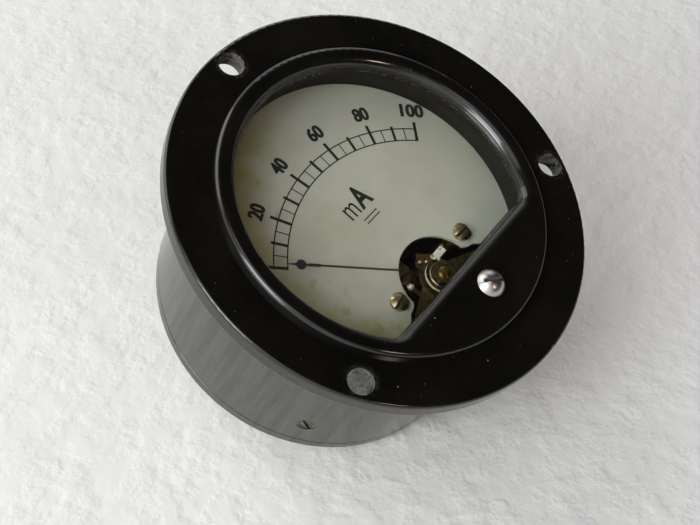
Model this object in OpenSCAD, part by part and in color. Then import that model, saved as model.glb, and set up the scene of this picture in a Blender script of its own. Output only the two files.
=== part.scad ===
// Round flush-mounting moving-coil panel meter, 65 mm flange, lying on its back.
// Origin: centre of the flange's rear face. +Z out of the dial, +Y towards 12 o'clock.

/* [Case] */
// Diameter of the mounting flange
flange_d = 65; // [62:0.5:68]
// Thickness of the flange
flange_t = 3; // [2.6:0.1:3.6]
// Diameter of the barrel behind the panel
barrel_d = 52.6; // [52.2:0.1:53.4]
// Wall thickness of the barrel
barrel_wall = 2; // [1.8:0.1:2.1]
// Depth of the moulded barrel behind the flange
barrel_depth = 27.9; // [27.5:0.1:30]
// Height of the raised bezel above the flange
bezel_h = 1.4; // [1.2:0.1:2]
// Outer diameter of the raised bezel
bezel_d = 51.2; // [50.8:0.1:51.6]
// Diameter of the window
window_d = 44.9; // [44.6:0.1:45.2]
// Distance from the case centre down to the window's straight edge
chord_y = 14.9; // [14.5:0.1:15.2]

/* [Panel fixing] */
// Pitch circle of the flange holes
hole_pcd = 59.5; // [59:0.1:60]
// Diameter of the flange holes
hole_d = 4; // [3.2:0.1:4.2]

/* [Dial] */
// Depth of the dial's face below the flange's rear face
dial_depth = 3.1; // [2.9:0.1:3.3]
// Thickness of the dial plate
dial_t = 0.5; // [0.4:0.1:0.6]
// Radius of the arched cut-out that shows the movement
arch_r = 6.8; // [6.6:0.1:6.9]

/* [Movement] */
// Distance from the case centre down to the pivot
pivot_y = 13.7; // [13.6:0.1:13.8]
// Length of the pointer from the pivot
pointer_len = 24; // [22:0.5:24]
// Angle of the pointer at zero, left of 12 o'clock
zero_angle = 43.9; // [42:0.1:46]
// Radius of the fixed iron core
core_r = 5; // [4.6:0.1:5]
// Radius of the bore in the pole pieces
pole_bore_r = 6.9; // [6.9:0.1:7.2]
// Throw of the zero adjuster's eccentric pin
pin_throw = 0.9; // [0.6:0.1:1]

/* [Terminals] */
// Distance between the two terminal studs
stud_spacing = 24; // [20:0.5:26]
// How far the studs stand out behind the base
stud_out = 12; // [11:0.5:14]

/* [Hidden] */
$fn = 96;

bakelite = [0.035, 0.033, 0.032];
fibre = [0.20, 0.07, 0.04];
brass = [0.72, 0.55, 0.27];
nickel = [0.72, 0.70, 0.66];
steel = [0.55, 0.55, 0.55];
iron = [0.36, 0.36, 0.37];
copper = [0.68, 0.35, 0.20];
aluminium = [0.75, 0.76, 0.77];
card = [0.62, 0.50, 0.33];
sapphire = [0.75, 0.12, 0.20];

// Case levels and radii
flange_r = flange_d / 2;
barrel_r = barrel_d / 2;
bore_r = barrel_r - barrel_wall;
bezel_r = bezel_d / 2;
window_r = window_d / 2;
top_z = flange_t + bezel_h;
glass_top = flange_t - 0.5;
glass_t = 1.6;
glass_bottom = glass_top - glass_t;
lip_r = 1.8;
bezel_edge_r = 0.8;
flange_edge_r = 0.5;
corner_r = 3.1;
seam_z = -barrel_depth;
hole_angles = [90, 210, 330];
gap = 0.05;
fit = 0.05;

// Zero adjuster
adjuster_y = -19.65;
adjuster_r = 1.5;
dome_r = 2.2;
boss_r = 2.7;
boss_z = 0.8;
slot_angle = -40;
pin_r = 0.4;

// Dial and what holds it
dial_z = -dial_depth;
dial_back = dial_z - dial_t;
dial_r = 24;
dial_cut_y = -14.8;
dial_screw_pos = [8.5, -11.6];
tab_r = 2.3;
ring_in_r = 23;

// Movement levels
lever_t = 0.5;
bridge_top = -3.8;
bridge_t = 0.8;
lever_z = bridge_top + 0.7;
boss_top = lever_z + lever_t + gap;
spring_h = 0.6;
upper_spring_z = -6.4;
hub_z = -7.5;
hub_h = 0.8;
iron_top = -10.2;
iron_h = 9;
iron_bottom = iron_top - iron_h;
strap_t = 0.8;
coil_x = 5.4;
coil_w = 2.6;
coil_bar = 0.95;
former_t = 0.25;
flange_w = 0.2;
coil_top_in = -8.9;
coil_bottom_in = -20;
coil_top = coil_top_in + coil_bar;
coil_bottom = coil_bottom_in - coil_bar;
lower_bridge_z = -24.6;
lower_spring_z = -22.6;
pointer_z = dial_z + 1.15;
riser_r = 5.6;

// Magnet
magnet_out = 17.5;
magnet_in = 11.5;
magnet_arch_y = 2;
magnet_foot_y = -15.2;
magnet_screw_y = -10.5;
pole_top_y = -4.2;
pole_limit_r = 23.2;

// Rear base
base_rim = 2.2;
base_back = seam_z - base_rim;
base_floor = base_back + 3;
recess_r = 22.5;
recess_depth = 1;
spigot_r = bore_r - 0.15;
spigot_wall = 2.3;
case_screw_z = -22.3;
case_screw_r = 0.9;
case_head_r = 1.5;
pillar_pos = [7.5, -8.2];
pillar_r = 1.9;
pillar_bore = 1.25;

// Terminals
stud_r = 2;
stud_core_r = 1.8;
stud_hole_r = 2.1;
stud_tip_len = 4;
washer_t = 0.8;
nut_h = 3.2;
nut_r = 4.04;
lug_t = 0.6;
lug_w = 3;
lug_x = stud_spacing / 2;
lug_y = 7.4;
lug_z = base_floor + 2.4;
clamp_z = base_back - washer_t;
second_washer_z = clamp_z - nut_h - washer_t;
wire_nut_z = second_washer_z - nut_h;
stud_end = base_back - stud_out;

// ---------- shared shapes ----------

module at_pivot() {
    translate([0, -pivot_y, 0]) children();
}

module at_zero() {
    at_pivot() rotate(zero_angle) children();
}

module slotted_head(r, h, slot_w, slot_depth, turn = 0) {
    difference() {
        cylinder(r = r, h = h);
        rotate(turn)
            translate([-r - 1, -slot_w / 2, h - slot_depth])
                cube([2 * r + 2, slot_w, slot_depth + 1]);
    }
}

// A slotted head whose top swells by `swell` above its rim
module domed_head(r, h, swell, slot_w, slot_depth, turn = 0) {
    ball_r = (r * r + swell * swell) / (2 * swell);
    difference() {
        intersection() {
            cylinder(r = r, h = h);
            translate([0, 0, h - ball_r]) sphere(ball_r);
        }
        rotate(turn)
            translate([-r - 1, -slot_w / 2, h - slot_depth])
                cube([2 * r + 2, slot_w, slot_depth + 1]);
    }
}

module hex_nut(r, h, hole) {
    difference() {
        cylinder(r = r, h = h, $fn = 6);
        translate([0, 0, -1]) cylinder(r = hole, h = h + 2);
    }
}

module washer(r, h, hole) {
    difference() {
        cylinder(r = r, h = h);
        translate([0, 0, -1]) cylinder(r = hole, h = h + 2);
    }
}

// A flat spiral strip from inner radius r0 to outer radius r1
module spiral(r0, r1, turns, strip, height, start = 0) {
    steps = 26 * turns;
    inner = [for (i = [0 : steps])
        let (a = start + 360 * turns * i / steps, r = r0 + (r1 - r0) * i / steps)
        [(r - strip / 2) * cos(a), (r - strip / 2) * sin(a)]];
    outer = [for (i = [steps : -1 : 0])
        let (a = start + 360 * turns * i / steps, r = r0 + (r1 - r0) * i / steps)
        [(r + strip / 2) * cos(a), (r + strip / 2) * sin(a)]];
    linear_extrude(height) polygon(concat(inner, outer));
}

// A round wire swept along a list of points
function unit(v) = v / norm(v);
function tangent(p, i) = unit(p[min(i + 1, len(p) - 1)] - p[max(i - 1, 0)]);
function side_of(t) = abs(t[2]) < 0.9 ? unit(cross(t, [0, 0, 1])) : unit(cross(t, [1, 0, 0]));
function quad(a, b, c, t) = (1 - t) * (1 - t) * a + 2 * t * (1 - t) * b + t * t * c;
function bend(a, b, c, n) = [for (i = [0 : n]) quad(a, b, c, i / n)];

module wire(points, r, sides = 8) {
    n = len(points);
    rings = [for (i = [0 : n - 1])
        let (t = tangent(points, i), u = side_of(t), v = cross(t, u))
        for (k = [0 : sides - 1])
            points[i] + r * (cos(360 * k / sides) * u + sin(360 * k / sides) * v)];
    walls = [for (i = [0 : n - 2]) for (k = [0 : sides - 1])
        let (k2 = (k + 1) % sides)
        [i * sides + k, i * sides + k2, (i + 1) * sides + k2, (i + 1) * sides + k]];
    caps = [[for (k = [sides - 1 : -1 : 0]) k], [for (k = [0 : sides - 1]) (n - 1) * sides + k]];
    polyhedron(points = rings, faces = concat(walls, caps));
}

// ---------- case ----------

// Half section of the bezel ring, rounded at the window lip and at the outer edge
module bezel_section() {
    low = glass_top;
    crest = window_r + lip_r;
    edge = bezel_r - bezel_edge_r;
    translate([window_r, low]) square([edge - window_r, top_z - lip_r - low]);
    translate([crest, low]) square([edge - crest, top_z - low]);
    translate([edge, low]) square([bezel_edge_r, top_z - bezel_edge_r - low]);
    translate([edge, top_z - bezel_edge_r]) circle(bezel_edge_r);
    intersection() {
        translate([crest, top_z - lip_r]) circle(lip_r);
        translate([window_r, low]) square([lip_r, top_z - low]);
    }
}

module flange_section() {
    e = flange_edge_r;
    translate([bore_r, 0]) square([flange_r - e - bore_r, flange_t]);
    translate([bore_r, e]) square([flange_r - bore_r, flange_t - 2 * e]);
    for (z = [e, flange_t - e]) translate([flange_r - e, z]) circle(e);
}

// Section of the rounded lip: depth from the window's edge along x, height along y
module lip_section(depth) {
    h = top_z - glass_top;
    intersection() {
        square([depth, h]);
        union() {
            translate([lip_r, 0]) square([depth - lip_r, h]);
            square([depth, h - lip_r]);
            translate([lip_r, h - lip_r]) circle(lip_r);
        }
    }
}

// The plate below the window, with a rounded edge along the chord
module chord_plate() {
    plate_r = bezel_r - bezel_edge_r - 0.1;
    intersection() {
        translate([0, -chord_y, glass_top])
            rotate([0, 0, -90]) rotate([90, 0, 0])
                linear_extrude(2 * plate_r, center = true) lip_section(plate_r - chord_y + 1);
        translate([0, 0, glass_top]) cylinder(r = plate_r, h = top_z - glass_top);
    }
}

// Fills the corner between the round window and its straight edge
module window_corner() {
    cy = -chord_y + corner_r;
    cx = sqrt(pow(window_r - corner_r, 2) - cy * cy);
    sweep = 90 + atan2(cy, cx);
    translate([cx, cy, glass_top])
        rotate(-90) rotate_extrude(angle = sweep)
            translate([corner_r, 0]) lip_section(lip_r + 0.4);
}

module radial(angle, z) {
    rotate(angle) translate([0, 0, z]) rotate([0, 90, 0]) children();
}

module front_case() {
    color(bakelite) difference() {
        union() {
            rotate_extrude() {
                bezel_section();
                flange_section();
                translate([bore_r, seam_z]) square([barrel_wall, barrel_depth + 1]);
            }
            chord_plate();
            window_corner();
            mirror([1, 0, 0]) window_corner();
            translate([0, adjuster_y, boss_z]) cylinder(r = boss_r, h = glass_top - boss_z + 0.5);
        }
        for (a = hole_angles) {
            rotate(a) translate([hole_pcd / 2, 0, -1]) cylinder(d = hole_d, h = flange_t + 2);
            radial(a, case_screw_z) translate([0, 0, bore_r - 1]) cylinder(r = case_screw_r, h = 5);
            radial(a, case_screw_z) translate([0, 0, barrel_r - 1.1])
                cylinder(r1 = case_screw_r, r2 = case_head_r + 0.02, h = 0.7);
            radial(a, case_screw_z) translate([0, 0, barrel_r - 0.4]) cylinder(r = case_head_r + 0.02, h = 2);
        }
        translate([0, adjuster_y, boss_z - 1]) cylinder(r = adjuster_r + fit, h = 6);
    }
}

module window_glass() {
    glass_r = bore_r - 0.1;
    color([0.75, 0.85, 0.85, 0.3]) translate([0, 0, glass_bottom]) difference() {
        cylinder(r = glass_r, h = glass_t);
        translate([-30, -30 - chord_y - 1.7, -1]) cube([60, 30, glass_t + 2]);
    }
}

// Fibre ring that holds the glass up against its seat
module glass_retainer() {
    color(fibre) translate([0, 0, dial_z + 0.2]) difference() {
        cylinder(r = bore_r - 0.15, h = glass_bottom - dial_z - 0.2);
        translate([0, 0, -1]) cylinder(r = ring_in_r, h = 10);
    }
}

// ---------- zero adjuster ----------

module zero_adjuster() {
    dome_h = 1.4;
    groove_z = boss_z - 0.65;
    shaft_end = -0.3;
    pin_end = lever_z - 0.3;
    color(nickel) translate([0, adjuster_y, 0]) {
        translate([0, 0, top_z + gap]) domed_head(dome_r, dome_h, dome_h, 0.6, 0.6, slot_angle);
        difference() {
            translate([0, 0, shaft_end]) cylinder(r = adjuster_r, h = top_z - shaft_end + 0.2);
            translate([0, 0, groove_z]) washer(3, 0.5, adjuster_r - 0.4);
        }
        translate([0, -pin_throw, pin_end]) cylinder(r = pin_r, h = shaft_end - pin_end + 0.2);
    }
}

// Spring clip in the shaft's groove, below the boss
module adjuster_clip() {
    color(steel) translate([0, adjuster_y, boss_z - 0.65]) difference() {
        cylinder(r = 2.6, h = 0.5);
        translate([0, 0, -1]) cylinder(r = adjuster_r - 0.4, h = 3);
        translate([-0.8, 0, -1]) cube([1.6, 5, 3]);
    }
}

// ---------- rear base, screws and terminals ----------

module base_section() {
    e = 0.4;
    chamfer = 0.2;
    polygon([
        [0, base_floor], [0, base_back + recess_depth], [recess_r, base_back + recess_depth],
        [recess_r, base_back], [barrel_r - e, base_back], [barrel_r, base_back + e],
        [barrel_r, seam_z - chamfer], [barrel_r - chamfer, seam_z], [spigot_r, seam_z],
        [spigot_r, seam_z + 3], [spigot_r - spigot_wall, seam_z + 3],
        [spigot_r - spigot_wall, base_floor]
    ]);
}

// Block inside the wall that takes one side screw
module screw_lug() {
    lug_w = 8;
    lug_h = 8.1;
    lug_in = spigot_r - spigot_wall - 0.8;
    intersection() {
        translate([lug_in, -lug_w / 2, seam_z]) cube([5, lug_w, lug_h]);
        translate([0, 0, seam_z]) cylinder(r = spigot_r - 0.2, h = lug_h + 1);
    }
}

module rear_base() {
    color(bakelite) difference() {
        union() {
            rotate_extrude() base_section();
            for (a = hole_angles) rotate(a) screw_lug();
            for (s = [-1, 1]) translate([s * stud_spacing / 2, 0, base_back]) cylinder(r = 6, h = 2);
        }
        for (a = hole_angles) {
            radial(a, case_screw_z) translate([0, 0, 15]) cylinder(r = case_screw_r, h = 20);
        }
        for (s = [-1, 1]) {
            translate([s * stud_spacing / 2, 0, base_back - 1]) cylinder(r = stud_hole_r, h = 6);
            translate([s * pillar_pos[0], pillar_pos[1], base_back - 1]) {
                cylinder(r = pillar_bore, h = 6);
                cylinder(r = 2.5, h = 1 + recess_depth + 0.6);
            }
        }
    }
}

module case_screws() {
    color(nickel) for (a = hole_angles) radial(a, case_screw_z) difference() {
        union() {
            translate([0, 0, spigot_r - spigot_wall]) cylinder(r = case_screw_r, h = 4);
            translate([0, 0, barrel_r - 1.1]) cylinder(r1 = case_screw_r, r2 = case_head_r, h = 0.7);
            translate([0, 0, barrel_r - 0.4]) cylinder(r = case_head_r, h = 0.3);
        }
        rotate(35) translate([-3, -0.25, barrel_r - 0.5]) cube([6, 0.5, 2]);
    }
}

module terminal_stud(side) {
    head_h = 1.8;
    color(brass) translate([side * stud_spacing / 2, 0, 0]) {
        translate([0, 0, base_floor + lug_t]) cylinder(r = 4, h = head_h, $fn = 6);
        translate([0, 0, stud_end + 1])
            cylinder(r = stud_core_r, h = base_floor + lug_t - stud_end);
        translate([0, 0, stud_end + 0.5]) cylinder(r = stud_r, h = stud_tip_len - 0.5);
        translate([0, 0, stud_end]) cylinder(r1 = stud_r - 0.5, r2 = stud_r, h = 0.5);
    }
}

module terminal_stud_left() terminal_stud(-1);

module terminal_stud_right() terminal_stud(1);

// Tags under the stud heads, each with two ears bent up for the solder joints
module solder_lugs() {
    color(nickel) for (s = [-1, 1]) translate([s * lug_x, 0, base_floor]) {
        difference() {
            union() {
                cylinder(r = 4, h = lug_t);
                translate([-lug_w / 2, -lug_y, 0]) cube([lug_w, 2 * lug_y, lug_t]);
            }
            translate([0, 0, -1]) cylinder(r = stud_hole_r, h = 4);
        }
        for (y = [-lug_y, lug_y - lug_t]) translate([-lug_w / 2, y, 0]) cube([lug_w, lug_t, 3.4]);
    }
}

module terminal_washers() {
    color(brass) for (s = [-1, 1]) translate([s * stud_spacing / 2, 0, 0]) {
        translate([0, 0, clamp_z]) washer(4.5, washer_t, stud_hole_r);
        translate([0, 0, second_washer_z]) washer(4.5, washer_t, stud_hole_r);
    }
}

module terminal_clamp_nuts() {
    color(brass) for (s = [-1, 1]) translate([s * stud_spacing / 2, 0, clamp_z - nut_h])
        rotate(s * 11) hex_nut(nut_r, nut_h, stud_core_r);
}

module terminal_wire_nuts() {
    color(brass) for (s = [-1, 1]) translate([s * stud_spacing / 2, 0, wire_nut_z + 0.01])
        rotate(s * 23) hex_nut(nut_r, nut_h - 0.01, stud_core_r);
}

// ---------- magnet system ----------

module horseshoe_magnet() {
    color(iron) translate([0, 0, iron_bottom]) difference() {
        linear_extrude(iron_h) difference() {
            union() {
                intersection() {
                    translate([0, magnet_arch_y]) circle(magnet_out);
                    translate([-30, magnet_arch_y]) square([60, 30]);
                }
                translate([-magnet_out, magnet_foot_y])
                    square([2 * magnet_out, magnet_arch_y - magnet_foot_y]);
            }
            translate([0, magnet_arch_y]) circle(magnet_in);
            translate([-magnet_in, magnet_foot_y - 1])
                square([2 * magnet_in, magnet_arch_y - magnet_foot_y + 1]);
        }
        translate([-30, magnet_screw_y, iron_h / 2]) rotate([0, 90, 0]) cylinder(r = 1.3, h = 60);
    }
}

// One side of the soft-iron pole system: flat against the magnet, hollowed round the coil
module pole_piece() {
    difference() {
        translate([0, 0, iron_bottom]) linear_extrude(iron_h) difference() {
            intersection() {
                translate([3, -24]) square([magnet_in - 3, pole_top_y + 24]);
                circle(pole_limit_r);
            }
            translate([0, -pivot_y]) circle(pole_bore_r);
        }
        translate([9.5, magnet_screw_y, iron_bottom + iron_h / 2])
            rotate([0, 90, 0]) cylinder(r = 1.3, h = 6);
    }
}

module pole_piece_right() {
    color(steel) pole_piece();
}

module pole_piece_left() {
    color(steel) mirror([1, 0, 0]) pole_piece();
}

module magnet_screws() {
    color(steel) for (s = [0, 1]) mirror([s, 0, 0])
        translate([0, magnet_screw_y, iron_bottom + iron_h / 2]) rotate([0, 90, 0]) {
            translate([0, 0, 9.5]) cylinder(r = 1.3, h = magnet_out - 9.5 + 0.2);
            translate([0, 0, magnet_out]) slotted_head(2.2, 1.6, 0.6, 0.8, 20);
        }
}

module core() {
    color(steel) at_pivot() difference() {
        translate([0, 0, iron_bottom]) cylinder(r = core_r, h = iron_h);
        translate([0, 0, iron_top - 4]) cylinder(r = 0.8, h = 5);
    }
}

// Brass strap across the front of the core, carried on both pole pieces
module core_bracket() {
    color(brass) difference() {
        translate([0, 0, iron_top]) linear_extrude(strap_t) {
            at_pivot() translate([-1.8, -7.6]) square([3.6, 15.6]);
            translate([-6.6, -pivot_y + 6.9]) square([13.2, 2.4]);
            translate([-6.0, -22.3]) square([12, 1.7]);
        }
        bracket_screw_places() translate([0, 0, -1]) cylinder(r = 0.7, h = 3);
        at_pivot() translate([0, 0, iron_top - 1]) cylinder(r = 0.8, h = 3);
    }
}

module bracket_screw_places() {
    for (s = [-1, 1]) {
        translate([s * 5.2, -pivot_y + 8.1, iron_top]) children();
        translate([s * 4.9, -21.45, iron_top]) children();
    }
}

module core_screw() {
    color(brass) at_pivot() {
        translate([0, 0, iron_top - 4]) cylinder(r = 0.8, h = 4 + strap_t);
    }
}

module bracket_screws() {
    color(nickel) bracket_screw_places() {
        translate([0, 0, 0]) cylinder(r = 0.7, h = strap_t + 0.1);
        translate([0, 0, strap_t]) slotted_head(0.8 + 0.35, 0.7, 0.3, 0.35, 30);
    }
}

module movement_pillars() {
    color(brass) for (s = [-1, 1]) translate([s * pillar_pos[0], pillar_pos[1], base_floor])
        washer(pillar_r, iron_bottom - base_floor, pillar_bore);
}

module movement_screws() {
    head_z = base_back + recess_depth + 0.6;
    color(nickel) for (s = [-1, 1]) translate([s * pillar_pos[0], pillar_pos[1], 0]) {
        translate([0, 0, head_z - 1.2]) cylinder(r = pillar_bore, h = iron_bottom - head_z + 1.2);
        translate([0, 0, head_z]) rotate([180, 0, 0]) slotted_head(2.3, 1.3, 0.6, 0.7, 25 * s);
    }
}

// ---------- dial ----------

// The dial's outline: a disc cut off below, with an arch that flares round two screw tabs
module dial_outline() {
    flare_y = dial_screw_pos[1] - tab_r;
    difference() {
        circle(dial_r);
        translate([-30, dial_cut_y - 30]) square([60, 30]);
        translate([0, -pivot_y]) circle(arch_r);
        difference() {
            polygon([
                [-10, dial_cut_y - 1], [-9.6, dial_cut_y], [-dial_screw_pos[0], flare_y], [-6, -12.4],
                [6, -12.4], [dial_screw_pos[0], flare_y], [9.6, dial_cut_y], [10, dial_cut_y - 1]
            ]);
            for (s = [-1, 1]) translate([s * dial_screw_pos[0], dial_screw_pos[1]]) circle(tab_r);
        }
    }
}

module dial_plate() {
    color([0.66, 0.66, 0.60]) translate([0, 0, dial_back]) linear_extrude(dial_t) difference() {
        dial_outline();
        for (s = [-1, 1]) translate([s * dial_screw_pos[0], dial_screw_pos[1]]) circle(0.8);
    }
}

module dial_pillars() {
    color(brass) for (s = [-1, 1]) translate([s * dial_screw_pos[0], dial_screw_pos[1], iron_top])
        washer(1.5, dial_back - iron_top, 0.8);
}

module dial_screws() {
    color(brass) for (s = [-1, 1]) translate([s * dial_screw_pos[0], dial_screw_pos[1], 0]) {
        translate([0, 0, dial_back - 3]) cylinder(r = 0.8, h = dial_t + 3.2);
        translate([0, 0, dial_z]) domed_head(1.45, 1.1, 0.5, 0.55, 0.7, 2 - s * 8);
    }
}

// ---------- bridges and jewels ----------

bridge_foot = [10, -3.7];
boss_post_r = 1.5;
boss_shoulder_r = 2.1;

// Seen from the front: a round hub with two arms that fall away to the left and right
module upper_bridge_outline() {
    circle(3.2);
    for (s = [0, 1]) mirror([s, 0]) {
        polygon([[1.2, 2.4], [3.0, 1.1], [bridge_foot[0] - 1, -1.4], [bridge_foot[0] + 1.2, -2.2],
            [bridge_foot[0] + 1.2, -5.0], [bridge_foot[0] - 1.6, -5.2], [2.4, -2.8], [0, -3.1]]);
        translate(bridge_foot) circle(2);
    }
}

module upper_bridge() {
    color(brass) at_pivot() difference() {
        union() {
            translate([0, 0, bridge_top - bridge_t]) linear_extrude(bridge_t) upper_bridge_outline();
            translate([0, 0, bridge_top - 0.1])
                cylinder(r = boss_shoulder_r, h = lever_z - gap - bridge_top + 0.1);
            translate([0, 0, bridge_top - bridge_t])
                cylinder(r = boss_post_r, h = boss_top - bridge_top + bridge_t);
        }
        translate([0, 0, -10]) cylinder(r = 1, h = 10);
        for (s = [-1, 1]) translate([s * bridge_foot[0], bridge_foot[1], -10]) cylinder(r = 0.8, h = 10);
    }
}

module upper_bridge_pillars() {
    h = bridge_top - bridge_t - iron_top;
    color(brass) at_pivot() for (s = [-1, 1])
        translate([s * bridge_foot[0], bridge_foot[1], iron_top]) washer(1.5, h, 0.8);
}

module upper_bridge_screws() {
    color(nickel) at_pivot() for (s = [-1, 1]) translate([s * bridge_foot[0], bridge_foot[1], 0]) {
        translate([0, 0, bridge_top - 4]) cylinder(r = 0.8, h = 4.2);
        translate([0, 0, bridge_top]) slotted_head(1.5, 0.9, 0.4, 0.5, 40 * s);
    }
}

// Threaded jewel carrier: a slotted end on top, a cup for the jewel below
module jewel_screw(top, bottom, head_r, cup_r) {
    translate([0, 0, top - 0.7]) domed_head(head_r, 0.7, 0.25, 0.35, 0.4, 55);
    difference() {
        translate([0, 0, bottom]) cylinder(r = 1, h = top - 0.6 - bottom);
        translate([0, 0, bottom - 1]) cylinder(r = cup_r, h = 1.7);
    }
}

upper_screw_top = -1.4;
upper_screw_bottom = -5.9;
lower_screw_bottom = -23.05;
lower_screw_top = -26.1;

module upper_jewel_screw() {
    color(brass) at_pivot() jewel_screw(upper_screw_top, upper_screw_bottom, 1, 0.6);
}

module lower_jewel_screw() {
    color(brass) at_pivot() mirror([0, 0, 1])
        jewel_screw(-lower_screw_top, -lower_screw_bottom, 1.45, 0.6);
}

module upper_jewel_nut() {
    color(nickel) at_pivot() translate([0, 0, boss_top]) rotate(12) hex_nut(1.8, 0.7, 1);
}

module lower_jewel_nut() {
    h = lower_bridge_z - lower_screw_top - 0.7;
    color(nickel) at_pivot() translate([0, 0, lower_bridge_z - h]) hex_nut(2.1, h, 1);
}

module jewel() {
    difference() {
        cylinder(r = 0.6, h = 0.7);
        translate([0, 0, -1]) cylinder(r = 0.3, h = 1.5);
    }
}

module upper_jewel() {
    color(sapphire) at_pivot() translate([0, 0, upper_screw_bottom]) jewel();
}

module lower_jewel() {
    color(sapphire) at_pivot() translate([0, 0, lower_screw_bottom]) mirror([0, 0, 1]) jewel();
}

lower_foot = 9.5;

module lower_bridge() {
    color(brass) at_pivot() translate([0, 0, lower_bridge_z]) difference() {
        linear_extrude(bridge_t) {
            circle(2.8);
            translate([-lower_foot, -1.9]) square([2 * lower_foot, 3.8]);
            for (s = [-1, 1]) translate([s * lower_foot, 0]) circle(1.9);
        }
        translate([0, 0, -1]) cylinder(r = 1, h = 3);
        translate([5.1, 0, -1]) cylinder(r = 0.7, h = 3);
        for (s = [-1, 1]) translate([s * lower_foot, 0, -1]) cylinder(r = 0.8, h = 3);
    }
}

module lower_bridge_pillars() {
    low = lower_bridge_z + bridge_t;
    color(brass) at_pivot() for (s = [-1, 1])
        translate([s * lower_foot, 0, low]) washer(1.6, iron_bottom - low, 0.8);
}

module lower_bridge_screws() {
    color(nickel) at_pivot() for (s = [-1, 1]) translate([s * lower_foot, 0, 0]) {
        translate([0, 0, lower_bridge_z - 0.1]) cylinder(r = 0.8, h = 4);
        translate([0, 0, lower_bridge_z]) rotate([180, 0, 0]) slotted_head(1.5, 0.9, 0.4, 0.5, 15);
    }
}

// ---------- zero lever and hairsprings ----------

upper_spring_r = 4;
lever_r = 2.65;
tag = [1.35, 2.05];
tag_end = 3.85;
tag_w = 1.15;
finger_w = 0.4;
fork_len = 8;

module zero_lever() {
    slot_w = 2 * (pin_r + 0.06);
    color(nickel) at_pivot() translate([0, 0, lever_z]) difference() {
        union() {
            cylinder(r = lever_r, h = lever_t);
            translate([-1.25, -fork_len, 0]) cube([2.5, fork_len, lever_t]);
            translate([tag[0] - 0.4, tag[1] - 0.8, 0]) cube([1.1, 1.2, lever_t]);
            translate([tag[0], tag[1], 0]) cube([tag_end - tag[0], tag_w, lever_t]);
            translate([tag_end - finger_w, tag[1], upper_spring_z - lever_z])
                cube([finger_w, finger_w, lever_z - upper_spring_z + 0.1]);
        }
        translate([0, 0, -1]) cylinder(r = boss_post_r + fit, h = 3);
        translate([-slot_w / 2, -fork_len - 1, -1]) cube([slot_w, 4.4, 3]);
        translate([tag_end - 0.55, tag[1] + 0.75, -1]) cylinder(r = 0.2, h = 3);
    }
}

// The upper spring ends at the lever's finger, the lower one at its fixed anchor
module upper_hairspring() {
    turns = 3.5;
    finger = atan2(tag[1] + finger_w / 2, tag_end - finger_w);
    color(copper) at_pivot() translate([0, 0, upper_spring_z])
        spiral(1.5, upper_spring_r, turns, 0.14, spring_h, finger - 360 * turns);
}

module lower_hairspring() {
    turns = 4;
    color(copper) at_pivot() translate([0, 0, lower_spring_z])
        spiral(1.5, 4.7, turns, 0.14, spring_h);
}

module lower_spring_anchor() {
    color(nickel) at_pivot() translate([5.1, 0, 0]) {
        translate([0, 0, lower_bridge_z - 0.5]) cylinder(r = 0.33, h = 0.5 + 2.6);
        translate([0, 0, lower_bridge_z - 0.8]) cylinder(r = 0.7, h = 0.8 + bridge_t + 0.5);
    }
}

// ---------- moving coil ----------

module coil_former() {
    outer_x = coil_x + coil_bar;
    inner_h = coil_top_in - coil_bottom_in;
    channel_x = coil_x + former_t;
    color(aluminium) at_zero() difference() {
        translate([-outer_x, -coil_w / 2, coil_bottom]) cube([2 * outer_x, coil_w, coil_top - coil_bottom]);
        translate([-coil_x, -coil_w, coil_bottom_in]) cube([2 * coil_x, 2 * coil_w, inner_h]);
        difference() {
            translate([-20, -coil_w / 2 + flange_w, coil_bottom - 1])
                cube([40, coil_w - 2 * flange_w, coil_top - coil_bottom + 2]);
            translate([-channel_x, -coil_w, coil_bottom_in - former_t])
                cube([2 * channel_x, 2 * coil_w, inner_h + 2 * former_t]);
        }
    }
}

module coil_winding() {
    depth = coil_bar - former_t - 0.05;
    channel_x = coil_x + former_t;
    w = coil_w - 2 * flange_w;
    low = coil_bottom_in - former_t;
    high = coil_top_in + former_t;
    color(copper) at_zero() difference() {
        translate([-channel_x - depth, -w / 2, low - depth])
            cube([2 * (channel_x + depth), w, high - low + 2 * depth]);
        translate([-channel_x, -w, low]) cube([2 * channel_x, 2 * w, high - low]);
    }
}

// Staff cemented on the coil: a foot, a collet for the hairspring and a fine tip
module staff(foot, collet, tip, sign) {
    span = abs(tip - foot);
    translate([0, 0, foot]) mirror([0, 0, sign < 0 ? 1 : 0]) {
        cylinder(r = 1.1, h = 0.35);
        cylinder(r = 0.45, h = span - 0.65);
        translate([0, 0, abs(collet - foot)]) cylinder(r = 0.95, h = 0.4);
        translate([0, 0, span - 0.65]) cylinder(r1 = 0.45, r2 = 0.16, h = 0.2);
        translate([0, 0, span - 0.5]) cylinder(r = 0.16, h = 0.5);
    }
}

module upper_pivot() {
    color(steel) at_zero() staff(coil_top, upper_spring_z + 0.02, -5.46, 1);
}

module lower_pivot() {
    color(steel) at_zero() staff(coil_bottom, lower_spring_z + spring_h - 0.1, -23.49, -1);
}

// Pointer blade seen from the front, along +Y from the pivot: line, sleeve, round bulb, spade tip
module blade() {
    bulb = pointer_len - 1.85;
    bulb_r = 0.75;
    sleeve = bulb - bulb_r - 0.35;
    sleeve_len = 1.9;
    translate([-0.11, riser_r - 0.1]) square([0.22, bulb - riser_r]);
    translate([-0.21, sleeve - sleeve_len]) square([0.42, sleeve_len]);
    translate([0, bulb]) circle(bulb_r);
    polygon([[-0.58, bulb + 0.45], [0.58, bulb + 0.45], [0.16, pointer_len - 0.25],
        [0.04, pointer_len], [-0.04, pointer_len], [-0.16, pointer_len - 0.25]]);
}

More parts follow.
